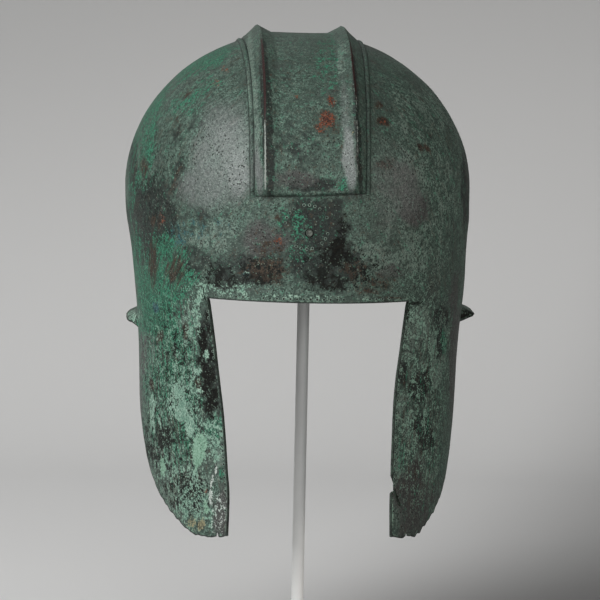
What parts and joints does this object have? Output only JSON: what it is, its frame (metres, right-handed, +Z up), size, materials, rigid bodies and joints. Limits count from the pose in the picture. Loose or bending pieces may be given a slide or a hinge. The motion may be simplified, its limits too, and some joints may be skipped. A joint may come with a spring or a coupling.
{
  "type": "illyrian helmet on rod stand",
  "caption": "Open-faced bronze helmet with a channel between crest ridges along its bowl, long cheekpieces and a flared neck guard, held up by a rod on a square plate.",
  "frame": {"origin": "middle of the underside of the stand's base plate, where it rests", "axes": "+Z up along the rod, -Y towards the helmet's face opening, +X to its viewer's right"},
  "size_m": [0.2078, 0.246, 0.3622],
  "materials": {
    "patinated_bronze": "excavated bronze with green, grey and brown patina",
    "bronze_plug": "worn grey-brown bronze",
    "satin_steel": "satin",
    "grey_felt": "matt felt over a turned disc"
  },
  "bodies": {
    "root": {"helmet_shell": "patinated_bronze", "crest_rivet": "bronze_plug", "stand_post": "satin_steel", "stand_rest": "grey_felt", "stand_base": "satin_steel"}
  },
  "joints": []
}
